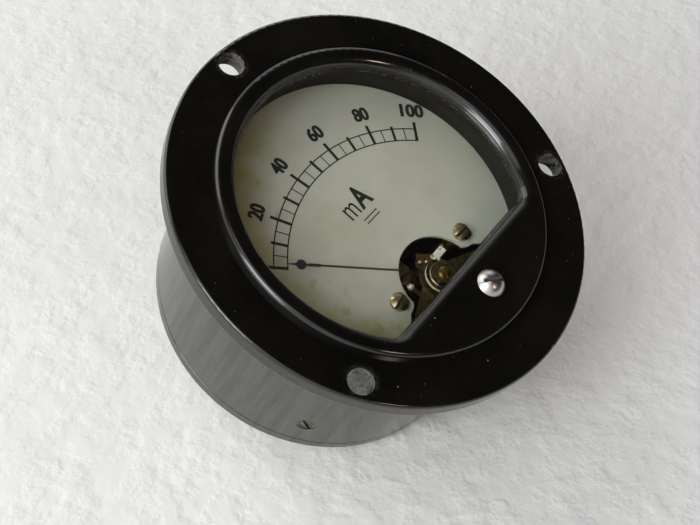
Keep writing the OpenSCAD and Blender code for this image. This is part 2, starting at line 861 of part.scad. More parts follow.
module pointer() {
    low = hub_z + 0.1;
    color([0.05, 0.05, 0.05]) at_zero() {
        difference() {
            union() {
                translate([0, 0, hub_z]) cylinder(r = 1.05, h = hub_h);
                translate([-0.3, 0, low]) cube([0.6, riser_r + 0.3, 0.3]);
            }
            translate([0, 0, hub_z - 1]) cylinder(r = 0.45, h = 3);
        }
        translate([-0.2, riser_r, low]) cube([0.4, 0.3, pointer_z - low + 0.2]);
        translate([0, 0, pointer_z]) linear_extrude(0.2) blade();
    }
}

balance_r = 4.2;

// Three threaded arms: one opposite the pointer and one to each side
module balance_cross() {
    color(brass) at_zero() translate([0, 0, hub_z + 0.25]) for (a = [180, 270, 0]) rotate(a)
        rotate([0, 90, 0]) translate([0, 0, 1.05]) cylinder(r = 0.25, h = 4.1);
}

module balance_weights() {
    color(nickel) at_zero() translate([0, 0, hub_z + 0.25]) for (a = [180, 270, 0]) rotate(a)
        rotate([0, 90, 0]) translate([0, 0, balance_r - (a == 270 ? 0.6 : 0.3)])
            washer(0.6, a == 270 ? 1.2 : 0.6, 0.25);
}

// ---------- shunt and leads ----------

bobbin_y = 14;
bobbin_len = 15;
bobbin_side = 6.4;
bobbin_z = base_floor + bobbin_side / 2;

module shunt_bobbin() {
    cheek = 1;
    color(card) translate([-bobbin_len / 2, bobbin_y, bobbin_z]) {
        for (x = [0, bobbin_len / 2 - cheek / 2, bobbin_len - cheek])
            translate([x, -bobbin_side / 2, -bobbin_side / 2]) cube([cheek, bobbin_side, bobbin_side]);
        rotate([0, 90, 0]) cylinder(r = 1.5, h = bobbin_len);
    }
}

module shunt_winding() {
    cheek = 1;
    bay = (bobbin_len - 3 * cheek) / 2;
    turns = 8;
    color([0.45, 0.30, 0.18]) translate([-bobbin_len / 2, bobbin_y, bobbin_z])
        for (x = [cheek, bobbin_len / 2 + cheek / 2]) translate([x, 0, 0]) rotate([0, 90, 0])
            rotate_extrude() {
                translate([1.5, 0]) square([1, bay]);
                for (i = [0 : turns - 1])
                    translate([2.5, bay * (i + 0.5) / turns]) circle(bay / turns / 2 - 0.02);
            }
}

// Each lead leaves its solder ear square on and meets its far end square on
module shunt_leads() {
    lead_r = 0.45;
    stub = 0.8;
    color(copper) for (s = [-1, 1]) {
        start = [s * lug_x, lug_y, lug_z];
        knee = [s * lug_x, bobbin_y, lug_z];
        finish = [s * bobbin_len / 2, bobbin_y, bobbin_z];
        wire(concat(
            [start],
            bend(start + [0, stub, 0], knee, finish + [s * stub, 0, 0], 7),
            [finish]
        ), lead_r);
    }
}

module movement_leads() {
    lead_r = 0.35;
    stub = 0.6;
    low_z = base_floor + 0.5;
    left_start = [-lug_x, -lug_y, lug_z];
    left_end = [-lower_foot - 1.91, -pivot_y, lower_bridge_z + 0.4];
    right_start = [lug_x, -lug_y, lug_z];
    right_end = [4.6, -pivot_y, lower_bridge_z - 0.8 - lead_r];
    color([0.5, 0.1, 0.08]) {
        wire(concat(
            [left_start],
            bend(left_start - [0, stub, 0], [-lug_x - 2, -pivot_y + 1, lug_z], left_end - [stub, 0, 0], 7),
            [left_end]
        ), lead_r);
        wire(concat(
            [right_start],
            bend(right_start - [0, stub, 0], [9.6, -12.6, low_z], right_end + [stub, 0, 0], 8),
            [right_end]
        ), lead_r);
    }
}

front_case();
window_glass();
glass_retainer();
zero_adjuster();
adjuster_clip();
rear_base();
case_screws();
terminal_stud_left();
terminal_stud_right();
solder_lugs();
terminal_washers();
terminal_clamp_nuts();
terminal_wire_nuts();
horseshoe_magnet();
pole_piece_left();
pole_piece_right();
magnet_screws();
core();
core_bracket();
core_screw();
bracket_screws();
movement_pillars();
movement_screws();
dial_pillars();
dial_plate();
dial_screws();
upper_bridge();
upper_bridge_pillars();
upper_bridge_screws();
upper_jewel_screw();
upper_jewel_nut();
upper_jewel();
lower_bridge();
lower_bridge_pillars();
lower_bridge_screws();
lower_jewel_screw();
lower_jewel_nut();
lower_jewel();
zero_lever();
upper_hairspring();
lower_hairspring();
lower_spring_anchor();
coil_former();
coil_winding();
upper_pivot();
lower_pivot();
pointer();
balance_cross();
balance_weights();
shunt_bobbin();
shunt_winding();
shunt_leads();
movement_leads();
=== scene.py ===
"""Looks for the round moving-coil panel meter: finishes, printed dial, fine detail, light and camera."""
import math
import random

import bpy
from mathutils import Matrix, Vector


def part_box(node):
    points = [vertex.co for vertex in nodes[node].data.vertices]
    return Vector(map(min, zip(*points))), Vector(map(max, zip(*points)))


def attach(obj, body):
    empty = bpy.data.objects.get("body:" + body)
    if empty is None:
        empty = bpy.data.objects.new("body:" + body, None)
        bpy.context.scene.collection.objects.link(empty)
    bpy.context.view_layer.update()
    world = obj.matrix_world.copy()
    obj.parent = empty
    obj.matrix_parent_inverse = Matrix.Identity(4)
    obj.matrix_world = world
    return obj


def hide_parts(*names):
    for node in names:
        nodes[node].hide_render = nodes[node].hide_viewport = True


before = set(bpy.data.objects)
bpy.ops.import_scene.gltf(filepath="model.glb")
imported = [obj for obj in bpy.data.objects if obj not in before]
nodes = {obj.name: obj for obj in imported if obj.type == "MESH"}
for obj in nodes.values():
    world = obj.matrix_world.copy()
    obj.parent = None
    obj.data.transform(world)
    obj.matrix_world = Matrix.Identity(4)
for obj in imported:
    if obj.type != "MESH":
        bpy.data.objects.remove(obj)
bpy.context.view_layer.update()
MM = 0.001
random.seed(11)

# ---------- places taken from the frame, in millimetres ----------
dial_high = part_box("dial_plate")[1]
base_low, base_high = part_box("rear_base")
stud_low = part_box("terminal_stud_right")[0]
case_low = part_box("front_case")[0]
pivot_low, pivot_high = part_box("upper_pivot")
lever_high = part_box("zero_lever")[1]
PIVOT_X = (pivot_low.x + pivot_high.x) / 2 / MM
PIVOT_Y = (pivot_low.y + pivot_high.y) / 2 / MM
DIAL_TOP = dial_high.z / MM
BARREL_R = base_high.x / MM
SEAM_Z = case_low.z / MM
LEVER_X, LEVER_Y, LEVER_TOP = (value / MM for value in lever_high)

# The flange holes' circle and the window's outline, as in the part
HOLE_R = 29.75
HOLE_ANGLES = (90, 210, 330)
WINDOW_R = 22.45
WINDOW_CHORD_Y = -14.9

# ---------- camera, from a fit to the edges of the flange, bezel and barrel ----------
CAMERA_RIGHT = Vector((0.5705, -0.7500, 0.3347))
CAMERA_UP = Vector((0.6025, 0.6591, 0.4501))
CAMERA_PLACE = (-0.12194, -0.01362, 0.16531)
CAMERA_LENS = 72.2
CAMERA_SENSOR = 36.0


def add_camera():
    """The photograph's view: from 9 o'clock, about 56 degrees above the dial's plane."""
    back = CAMERA_RIGHT.cross(CAMERA_UP).normalized()
    data = bpy.data.cameras.new("photo_camera")
    data.lens = CAMERA_LENS
    data.sensor_width = CAMERA_SENSOR
    data.clip_start = 0.01
    data.clip_end = 10.0
    cam = bpy.data.objects.new("photo_camera", data)
    axes = Matrix((CAMERA_RIGHT, CAMERA_UP, back)).transposed().to_4x4()
    cam.matrix_world = Matrix.Translation(CAMERA_PLACE) @ axes
    bpy.context.scene.collection.objects.link(cam)
    bpy.context.scene.camera = cam


# ---------- node materials ----------
class Shader:
    """A node material that works in millimetres of the part's own frame."""

    def __init__(self, name):
        self.material = bpy.data.materials.new(name)
        self.material.use_nodes = True
        self.tree = self.material.node_tree
        self.bsdf = self.tree.nodes["Principled BSDF"]
        self.coords = self.tree.nodes.new("ShaderNodeTexCoord")
        self.mm = self.maths("SCALE", self.coords.outputs["Object"], scale=1 / MM)

    def link(self, source, target):
        self.tree.links.new(source, target)

    def feed(self, socket, value):
        """Link another node's socket to this one, or give it a constant."""
        if isinstance(value, bpy.types.NodeSocket):
            self.link(value, socket)
        else:
            socket.default_value = value

    def node(self, kind, **inputs):
        """A new node with its inputs fed by name; an underscore stands for a space."""
        node = self.tree.nodes.new("ShaderNode" + kind)
        for name, value in inputs.items():
            self.feed(node.inputs[name.replace("_", " ")], value)
        return node

    def set(self, **values):
        """Feed the Principled shader's sockets."""
        for key, value in values.items():
            self.feed(self.bsdf.inputs[key.replace("_", " ")], value)

    def maths(self, operation, *inputs, scale=None):
        """A Math node, or a Vector Math node where scale is given or the operation needs vectors."""
        vector = scale is not None or operation in ("LENGTH", "SUBTRACT_V", "MULTIPLY_V", "ADD_V")
        node = self.node("VectorMath" if vector else "Math")
        node.operation = operation.replace("_V", "")
        for i, value in enumerate(inputs):
            self.feed(node.inputs[i], value)
        if scale is not None:
            node.inputs["Scale"].default_value = scale
        return node.outputs["Value"] if operation == "LENGTH" else node.outputs[0]

    def product(self, *factors):
        result = factors[0]
        for factor in factors[1:]:
            result = self.maths("MULTIPLY", result, factor)
        return result

    def stretched(self, x=1.0, y=1.0, z=1.0, turn=0.0):
        """The part's coordinates, turned about Z and scaled along each axis."""
        node = self.node("Mapping", Vector=self.mm, Rotation=(0, 0, math.radians(turn)), Scale=(x, y, z))
        return node.outputs[0]

    def noise_node(self, scale, detail, rough, at=None):
        return self.node("TexNoise", Vector=at or self.mm, Scale=scale, Detail=detail, Roughness=rough)

    def noise(self, scale, detail=3.0, rough=0.55, at=None):
        return self.noise_node(scale, detail, rough, at).outputs["Fac"]

    def cells(self, scale, at=None, feature="F1"):
        """Distance from the nearest cell's centre, and that cell's random colour."""
        node = self.tree.nodes.new("ShaderNodeTexVoronoi")
        node.feature = feature
        self.feed(node.inputs["Vector"], at or self.mm)
        self.feed(node.inputs["Scale"], scale)
        return node.outputs["Distance"], node.outputs["Color"]

    def specks(self, scale, outer, inner, share, strength=1.0, at=None):
        """Round specks in the few cells whose random tone passes share."""
        near, tone = self.cells(scale, at=at)
        chosen = self.ramp(tone, share, share + 0.04)
        return self.product(self.ramp(near, outer, inner, 0.0, strength), chosen)

    def ramp(self, value, low, high, start=0.0, end=1.0):
        """Value from low to high becomes start to end, clamped and eased."""
        node = self.node("MapRange", Value=value, From_Min=low, From_Max=high, To_Min=start, To_Max=end)
        node.interpolation_type = "SMOOTHSTEP"
        return node.outputs["Result"]

    def mix(self, factor, a, b):
        """Colour a turning into colour b as the factor goes from 0 to 1."""
        node = self.tree.nodes.new("ShaderNodeMix")
        node.data_type = "RGBA"
        self.feed(node.inputs[0], factor)
        for socket, colour in ((node.inputs[6], a), (node.inputs[7], b)):
            self.feed(socket, colour if isinstance(colour, bpy.types.NodeSocket) else (*colour, 1.0))
        return node.outputs[2]

    def bump(self, height, strength=0.2, distance=0.05):
        """Relief whose height of 1 stands for a distance in millimetres."""
        node = self.node("Bump", Height=height, Strength=strength, Distance=distance * MM)
        self.link(node.outputs[0], self.bsdf.inputs["Normal"])

    def axis(self, name):
        return self.node("SeparateXYZ", Vector=self.mm).outputs[name]

    def flatness(self):
        """1 where the surface lies parallel to the dial, 0 where it stands square to it."""
        normal = self.node("SeparateXYZ", Vector=self.coords.outputs["Normal"])
        return self.maths("ABSOLUTE", normal.outputs["Z"])

    def radius_from(self, x, y):
        """Distance in millimetres from the line parallel to Z through x, y."""
        moved = self.maths("SUBTRACT_V", self.mm, (x, y, 0.0))
        flat = self.maths("MULTIPLY_V", moved, (1.0, 1.0, 0.0))
        return self.maths("LENGTH", flat)

    def near_holes(self, reach, full, strength=1.0):
        """0 at reach from every flange hole's centre and beyond, growing to strength at full."""
        field = None
        for angle in HOLE_ANGLES:
            a = math.radians(angle)
            distance = self.radius_from(HOLE_R * math.cos(a), HOLE_R * math.sin(a))
            ring = self.ramp(distance, reach, full, 0.0, strength)
            field = ring if field is None else self.maths("MAXIMUM", field, ring)
        return field

    def show_instead(self, factor, other):
        """Another shader takes the Principled one's place as the factor goes from 0 to 1."""
        blend = self.tree.nodes.new("ShaderNodeMixShader")
        for socket, source in zip(blend.inputs, (factor, self.bsdf.outputs[0], other.outputs[0])):
            self.link(source, socket)
        self.link(blend.outputs[0], self.tree.nodes["Material Output"].inputs["Surface"])


def metal(name, colour, tarnish, share=0.5, rough=(0.2, 0.4), scale=0.8, dull=0.0):
    """Bare or plated metal with uneven tarnish and fine scratches; dull makes it less metallic."""
    s = Shader(name)
    cloud = s.noise(scale, 6.0, 0.65)
    stain = s.ramp(cloud, 0.5 - 0.28 * share, 0.82 - 0.3 * share)
    tone = s.mix(stain, tarnish, colour)
    grain = s.noise(7.0, 2.0, 0.5, at=s.stretched(1.0, 14.0, 1.0, 25))
    roughness = s.ramp(s.product(grain, cloud), 0.12, 0.42, rough[1], rough[0])
    s.set(Base_Color=tone, Metallic=1.0 - dull, Roughness=roughness)
    s.bump(grain, 0.08, 0.02)
    return s.material


def coated(name, colour, second, rough=(0.3, 0.5), scale=0.6, bump=0.15, **sockets):
    """Paint, fibre, card or enamel with a mottled tone."""
    s = Shader(name)
    cloud = s.noise(scale, 5.0, 0.6)
    tone = s.mix(s.ramp(cloud, 0.35, 0.7), colour, second)
    s.set(Base_Color=tone, Roughness=s.ramp(cloud, 0.3, 0.7, *rough), **sockets)
    s.bump(s.noise(3.0, 3.0, 0.6), bump, 0.03)
    return s.material


def hole_dirt(s):
    """Dirt in and just round the flange holes, thickest on their walls."""
    patches = s.ramp(s.noise(0.9, 4.0, 0.6), 0.35, 0.6)
    wall = s.ramp(s.flatness(), 0.9, 0.5)
    thickness = s.maths("ADD", s.product(wall, 0.8), 0.2)
    return s.product(s.near_holes(2.9, 2.0, 0.9), patches, thickness)


def barrel_haze(s):
    """A greenish painted reflection of the pale floor on the barrel's walls behind the flange, in streaks
    along its depth.
    """
    side = s.ramp(s.flatness(), 0.35, 0.15)
    below = s.ramp(s.axis("Z"), 0.5, -0.5)
    streaks = s.noise(1.0, 4.0, 0.6, at=s.stretched(0.9, 0.9, 0.05))
    return s.product(side, below, s.ramp(streaks, 0.32, 0.68, 0.5, 1.0))


def phenolic():
    """Black moulded phenolic: glossy, with dust specks, hairline scratches and dirt in the holes, a greenish
    painted reflection of the floor on the barrel's walls, and painted shadow with brown streaks of dirt on
    those walls under the holes.
    """
    black, warm_black = (0.0042, 0.0040, 0.0034), (0.0085, 0.0072, 0.0058)
    dust, painted_reflection_tone, shade_and_dirt_tone = (0.30, 0.29, 0.26), (0.050, 0.054, 0.043), (0.020, 0.016, 0.009)
    earth, ash = (0.045, 0.038, 0.028), (0.15, 0.145, 0.125)
    s = Shader("black_phenolic")
    flat = s.stretched(1.0, 1.0, 0.0)
    coarse_specks = s.specks(0.42, 0.07, 0.03, 0.74, 0.6, at=flat)
    fine_specks = s.specks(1.3, 0.13, 0.06, 0.78, 0.35, at=flat)
    specks = s.product(s.maths("MAXIMUM", coarse_specks, fine_specks), s.ramp(s.flatness(), 0.7, 0.9))
    dirt = hole_dirt(s)
    painted_reflection = barrel_haze(s)
    patches = s.ramp(s.noise(0.8, 4.0, 0.6), 0.35, 0.6)
    # painted shadow of the flange on the barrel's walls under the holes, brown and streaky where it also
    # stands for dirt
    grime = s.product(s.near_holes(6.5, 4.5), painted_reflection, patches, s.ramp(s.axis("Z"), -10.0, -7.5))

    tone = s.mix(s.ramp(s.noise(0.12, 5.0, 0.6), 0.35, 0.75), black, warm_black)
    tone = s.mix(specks, tone, dust)
    tone = s.mix(dirt, tone, s.mix(s.ramp(s.noise(1.8, 4.0), 0.4, 0.6), earth, ash))
    # painted reflection: the barrel's walls are lifted to a greenish grey that stands in for the floor seen
    # in them
    tone = s.mix(painted_reflection, tone, painted_reflection_tone)
    # painted shadow with brown dirt under the holes
    tone = s.mix(grime, tone, shade_and_dirt_tone)

    scratch = s.noise(1.4, 2.0, 0.5, at=s.stretched(0.25, 9.0, 1.0, 63))
    smear = s.ramp(s.noise(0.35, 4.0, 0.6), 0.35, 0.75, 0.11, 0.2)
    rough = s.maths("ADD", smear, s.ramp(scratch, 0.66, 0.72, 0, 0.1))
    rough = s.maths("MAXIMUM", rough, s.product(s.maths("MAXIMUM", dirt, grime), 0.85))
    s.set(Base_Color=tone, Roughness=rough, IOR=1.6)
    relief = s.maths("ADD", s.product(s.noise(0.5, 3.0), 0.8), s.product(scratch, 0.12))
    s.bump(relief, 0.12, 0.08)
    return s.material


def lever_metal():
    """Brown bronze with a pale painted highlight on its upright edges; only the tag at the upper right is
    tinned.
    """
    dark, light, edge_highlight_tone = (0.11, 0.085, 0.05), (0.27, 0.20, 0.11), (0.80, 0.72, 0.48)
    s = Shader("zero_lever_bronze")
    tag_x, tag_y = LEVER_X - 2.3, LEVER_Y - 1.3
    ragged = s.product(s.noise(1.6, 3.0), 0.5)
    right = s.ramp(s.maths("ADD", s.axis("X"), ragged), tag_x + 0.1, tag_x + 0.4)
    above = s.ramp(s.maths("ADD", s.axis("Y"), ragged), tag_y + 0.1, tag_y + 0.4)
    tinned = s.product(right, above)
    cloud = s.noise(0.9, 5.0, 0.6)
    bronze = s.mix(s.ramp(cloud, 0.35, 0.7), dark, light)
    # painted highlight: the upright edges are made pale and less metallic so that they look lit
    edge = s.ramp(s.flatness(), 0.95, 0.6)
    bronze = s.mix(edge, bronze, edge_highlight_tone)
    tin = s.mix(s.ramp(cloud, 0.4, 0.7), (0.86, 0.85, 0.80), (0.66, 0.63, 0.54))
    s.set(Base_Color=s.mix(tinned, bronze, tin), Roughness=s.ramp(cloud, 0.3, 0.7, 0.25, 0.4))
    s.set(Metallic=s.ramp(s.maths("MAXIMUM", tinned, edge), 0.0, 1.0, 1.0, 0.35))
    s.bump(s.noise(2.5, 3.0), 0.1, 0.03)
    return s.material


def window_pane():
    """Clear glass; lamps shine straight through it."""
    s = Shader("window_glass")
    s.set(Base_Color=(0.95, 0.955, 0.93, 1), Roughness=0.0, IOR=1.5, Transmission_Weight=1.0)
    clear = s.node("BsdfTransparent", Color=(0.92, 0.925, 0.9, 1))
    s.show_instead(s.node("LightPath").outputs["Is Shadow Ray"], clear)
    return s.material


def dial_paint():
    """Off-white dial paint, darkened by painted shade towards the rim; on the left a yellow edge and brown
    patches that are part stain and part painted shade, and a few specks.
    """
    pale, second, rim_painted_shade = (0.455, 0.464, 0.410), (0.405, 0.410, 0.345), (0.305, 0.318, 0.275)
    yellow, brown, speck_tone = (0.250, 0.232, 0.075), (0.26, 0.23, 0.09), (0.09, 0.08, 0.05)
    s = Shader("dial_enamel")
    reach = s.radius_from(0.0, 0.0)
    # the left side gets a yellow edge and brown patches, partly stains and partly painted shade of the bezel
    left = s.ramp(s.axis("X"), 5.0, -9.0)
    cloud = s.noise(0.11, 5.0, 0.6)
    tone = s.mix(s.ramp(cloud, 0.35, 0.7), pale, second)
    # painted shade: the dial darkens towards the rim
    tone = s.mix(s.ramp(reach, 8.0, 24.0, 0.0, 0.75), tone, rim_painted_shade)
    ragged = s.maths("ADD", reach, s.product(s.noise(0.16, 5.0, 0.65), 12.0))
    edge = s.ramp(ragged, 20.5, 28.0, 0.0, 0.9)
    tone = s.mix(s.product(edge, left), tone, yellow)
    patches = s.ramp(s.noise(0.28, 5.0, 0.65), 0.54, 0.66)
    # brown patches on the left: stains with painted shade
    stain = s.product(patches, s.ramp(reach, 11.0, 19.0, 0.1, 0.75), left)
    tone = s.mix(stain, tone, brown)
    tone = s.mix(s.product(s.specks(0.55, 0.05, 0.02, 0.84), 0.7), tone, speck_tone)
    s.set(Base_Color=tone, Roughness=s.ramp(cloud, 0.3, 0.7, 0.42, 0.55))
    s.bump(s.noise(2.2, 4.0, 0.6), 0.08, 0.03)
    return s.material


def foam():
    """The pale floor, dented and slightly beaded; seen from below it's clear."""
    s = Shader("pale_foam")
    tone = s.mix(s.ramp(s.noise(0.02, 4.0, 0.6), 0.35, 0.7), (0.80, 0.795, 0.785), (0.76, 0.755, 0.745))
    s.set(Base_Color=tone, Roughness=0.7, Specular_IOR_Level=0.2)
    drift = s.noise_node(0.25, 3.0, 0.5).outputs["Color"]
    warp = s.maths("ADD_V", s.mm, s.maths("SCALE", drift, scale=3.0))
    beads = s.cells(0.30, at=warp, feature="SMOOTH_F1")[0]
    dents = s.ramp(s.noise(0.16, 4.0, 0.55), 0.42, 0.62)
    fine = s.noise(0.7, 2.0, 0.5)
    relief = s.maths("ADD", s.product(beads, 1.1), s.product(fine, 0.55))
    s.bump(s.maths("ADD", relief, s.product(dents, 0.8)), 0.26, 0.6)
    s.show_instead(s.node("NewGeometry").outputs["Backfacing"], s.node("BsdfTransparent"))
    return s.material


MATERIALS = {
    "phenolic": phenolic(),
    "glass": window_pane(),
    "dial": dial_paint(),
    "ink": coated("dial_ink", (0.010, 0.010, 0.009), (0.017, 0.016, 0.014), (0.5, 0.65), 1.2,
                  Specular_IOR_Level=0.3),
    "fibre": coated("dark_fibre", (0.008, 0.007, 0.005), (0.014, 0.011, 0.008), (0.5, 0.7), 0.4,
                    Specular_IOR_Level=0.2),
    "chrome": metal("polished_chrome", (0.66, 0.65, 0.64), (0.52, 0.50, 0.48), 0.3, (0.24, 0.33)),
    "dull": metal("brown_nickel", (0.21, 0.20, 0.155), (0.10, 0.092, 0.065), 0.5, (0.3, 0.5), 1.2),
    "lever": lever_metal(),
    "nickel": metal("nickel_plate", (0.62, 0.57, 0.46), (0.30, 0.26, 0.18), 0.5, (0.18, 0.42), 1.1),
    "brass": metal("aged_brass", (0.58, 0.44, 0.20), (0.22, 0.16, 0.08), 0.5, (0.2, 0.45), 0.9),
    "screw": metal("cream_brass", (0.88, 0.79, 0.56), (0.40, 0.31, 0.17), 0.45, (0.17, 0.3), 1.3),
    "gold": metal("bright_brass", (0.86, 0.62, 0.22), (0.45, 0.28, 0.09), 0.35, (0.12, 0.3), 1.4),
    "bronze": metal("brown_bronze", (0.30, 0.23, 0.12), (0.10, 0.08, 0.045), 0.5, (0.25, 0.5), 0.9),
    "steel": metal("spring_steel", (0.50, 0.49, 0.47), (0.24, 0.22, 0.20), 0.45, (0.2, 0.4), 1.0),
    "iron": coated("oxidised_iron", (0.055, 0.053, 0.052), (0.10, 0.085, 0.07), (0.35, 0.6), 0.5,
                   Metallic=0.7),
    "magnet": coated("magnet_steel", (0.030, 0.030, 0.032), (0.055, 0.05, 0.046), (0.35, 0.6), 0.4,
                     Metallic=0.5),
    "copper": metal("spring_copper", (0.62, 0.30, 0.16), (0.26, 0.12, 0.07), 0.45, (0.15, 0.35), 1.6),
    "tin": metal("tinned_tag", (0.80, 0.79, 0.74), (0.58, 0.55, 0.46), 0.35, (0.22, 0.45), 1.5, dull=0.45),
    "aluminium": metal("coil_aluminium", (0.60, 0.60, 0.59), (0.36, 0.35, 0.33), 0.4, (0.3, 0.5), 1.0),
    "black": coated("pointer_black", (0.012, 0.012, 0.012), (0.03, 0.028, 0.024), (0.35, 0.5), 2.0),
    "card": coated("bobbin_card", (0.36, 0.25, 0.13), (0.25, 0.16, 0.08), (0.6, 0.8), 0.7, 0.3),
    "ruby": coated("jewel_ruby", (0.35, 0.02, 0.05), (0.24, 0.012, 0.03), (0.05, 0.1), 2.0, 0.0),
    "enamel_wire": coated("enamelled_wire", (0.22, 0.135, 0.05), (0.13, 0.075, 0.03), (0.2, 0.35), 1.5),
    "dust": coated("rim_dust", (0.15, 0.14, 0.11), (0.05, 0.045, 0.035), (0.8, 0.95), 2.0),
    # near-black for the painted shade in the seam
    "soot": coated("seam_painted_shade", (0.004, 0.004, 0.004), (0.012, 0.011, 0.009), (0.8, 0.95), 0.8,
                   Specular_IOR_Level=0.1),
    # brown for the dirt and painted shade in the dial screws' slots
    "grime": coated("slot_shade_and_dirt", (0.045, 0.030, 0.014), (0.022, 0.015, 0.008), (0.6, 0.8), 1.5),
    "cover": coated("wire_cover", (0.16, 0.02, 0.015), (0.10, 0.014, 0.01), (0.45, 0.6), 1.5),
}

FINISH = {
    "phenolic": "front_case rear_base",
    "glass": "window_glass",
    "fibre": "glass_retainer",
    "chrome": "zero_adjuster",
    "steel": "adjuster_clip upper_pivot lower_pivot",
    "dull": "case_screws",
    "screw": "dial_screws",
    "nickel": "magnet_screws bracket_screws movement_screws upper_bridge_screws lower_bridge_screws "
              "lower_jewel_nut lower_spring_anchor balance_weights",
    "brass": "terminal_stud_left terminal_stud_right terminal_washers terminal_clamp_nuts "
             "terminal_wire_nuts core_bracket core_screw movement_pillars dial_pillars "
             "upper_bridge_pillars lower_bridge_pillars lower_bridge balance_cross",
    "bronze": "upper_bridge upper_jewel_nut",
    "gold": "upper_jewel_screw lower_jewel_screw",
    "lever": "zero_lever",
    "tin": "solder_lugs",
    "iron": "pole_piece_left pole_piece_right core",
    "magnet": "horseshoe_magnet",
    "copper": "upper_hairspring lower_hairspring shunt_leads",
    "aluminium": "coil_former",
    "enamel_wire": "coil_winding shunt_winding",
    "black": "pointer",
    "card": "shunt_bobbin",
    "ruby": "upper_jewel lower_jewel",
    "cover": "movement_leads",
    "dial": "dial_plate",
}


def finish_nodes():
    for finish, names in FINISH.items():
        for name in names.split():
            mesh = nodes[name].data
            mesh.materials.clear()
            mesh.materials.append(MATERIALS[finish])


# ---------- mesh helpers: each solid is (points in millimetres, faces) ----------
def make_piece(name, verts, faces, finish, body, slot, smooth=False):
    mesh = bpy.data.meshes.new(name)
    mesh.from_pydata([Vector(v) * MM for v in verts], [], faces)
    mesh.validate()
    piece = bpy.data.objects.new(name, mesh)
    bpy.context.scene.collection.objects.link(piece)
    mesh.materials.append(MATERIALS[finish])
    for polygon in mesh.polygons:
        polygon.use_smooth = smooth
    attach(piece, body)
    return piece


def join(parts):
    verts, faces = [], []
    for v, f in parts:
        base = len(verts)
        verts += v
        faces += [tuple(base + i for i in face) for face in f]
    return verts, faces


def placed(points, x, y, turn):
    """Flat points turned anticlockwise about the origin by degrees, then moved to x, y."""
    c, s = math.cos(math.radians(turn)), math.sin(math.radians(turn))
    return [(x + c * px - s * py, y + s * px + c * py) for px, py in points]


def rectangle(x0, y0, x1, y1):
    return [(x0, y0), (x1, y0), (x1, y1), (x0, y1)]


def slab(outline, low, high):
    """A flat closed solid from a 2D outline that runs anticlockwise."""
    n = len(outline)
    verts = [(x, y, low) for x, y in outline] + [(x, y, high) for x, y in outline]
    faces = [tuple(range(n - 1, -1, -1)), tuple(range(n, 2 * n))]
    faces += [(i, (i + 1) % n, n + (i + 1) % n, n + i) for i in range(n)]
    return verts, faces


def thicken(points, triangles, low, high):
    """A closed solid from flat triangles: both sides and the walls along the open edges."""
    n = len(points)
    verts = [(x, y, low) for x, y in points] + [(x, y, high) for x, y in points]
    faces = [tuple(reversed(f)) for f in triangles] + [tuple(i + n for i in f) for f in triangles]
    edges = {edge: True for f in triangles for edge in zip(f, f[1:] + f[:1])}
    faces += [(a, b, b + n, a + n) for a, b in edges if (b, a) not in edges]
    return verts, faces


def strip_faces(steps):
    """Faces of a closed bar with four points at each stop; all are quads, so that they stay flat."""
    faces = []
    for i in range(steps):
        a, b = 4 * i, 4 * i + 4
        faces += [(a + 1, a + 3, b + 3, b + 1), (a, b, b + 2, a + 2)]
        faces += [(a, a + 1, b + 1, b), (a + 2, b + 2, b + 3, a + 3)]
    last = 4 * steps
    faces += [(0, 2, 3, 1), (last, last + 1, last + 3, last + 2)]
    return faces


def stack_faces(rings, sides):
    """Faces of a closed solid made of rings of points, one above another."""
    faces = []
    for i in range(rings - 1):
        for k in range(sides):
            k2 = (k + 1) % sides
            faces.append((i * sides + k, i * sides + k2, (i + 1) * sides + k2, (i + 1) * sides + k))
    top = (rings - 1) * sides
    faces += [tuple(range(sides - 1, -1, -1)), tuple(range(top, top + sides))]
    return faces


def lathe(profile, centre, sides=40):
    """A closed solid turned about a line parallel to Z; profile is (radius, height) from low to high."""
    verts = []
    for r, z in profile:
        for k in range(sides):
            a = 2 * math.pi * k / sides
            verts.append((centre[0] + r * math.cos(a), centre[1] + r * math.sin(a), z))
    return verts, stack_faces(len(profile), sides)


def dome(radius, height, centre, bottom, rings=7):
    """A round blob that ends in a tiny flat, so that no face shrinks to a point."""
    steps = [math.pi / 2 * i / rings for i in range(rings)]
    profile = [(radius * math.cos(a), bottom + height * math.sin(a)) for a in steps]
    return lathe(profile + [(radius * 0.06, bottom + height)], centre, 20)


def tube(points, radius, sides=10, per=10):
    """A round wire along a smooth curve through the points."""
    points = [Vector(p) for p in points]
    path = []
    for i in range(len(points) - 1):
        p0, p1 = points[max(i - 1, 0)], points[i]
        p2, p3 = points[i + 1], points[min(i + 2, len(points) - 1)]
        for j in range(per):
            t = j / per
            path.append(0.5 * ((2 * p1) + (p2 - p0) * t + (2 * p0 - 5 * p1 + 4 * p2 - p3) * t * t
                               + (3 * p1 - p0 - 3 * p2 + p3) * t ** 3))
    path.append(points[-1])
    verts = []
    for i, p in enumerate(path):
        along = (path[min(i + 1, len(path) - 1)] - path[max(i - 1, 0)]).normalized()
        helper = Vector((0, 0, 1)) if abs(along.z) < 0.9 else Vector((1, 0, 0))
        u = along.cross(helper).normalized()
        v = along.cross(u)
        for k in range(sides):
            a = 2 * math.pi * k / sides
            verts.append(tuple(p + radius * (math.cos(a) * u + math.sin(a) * v)))
    return verts, stack_faces(len(path), sides)


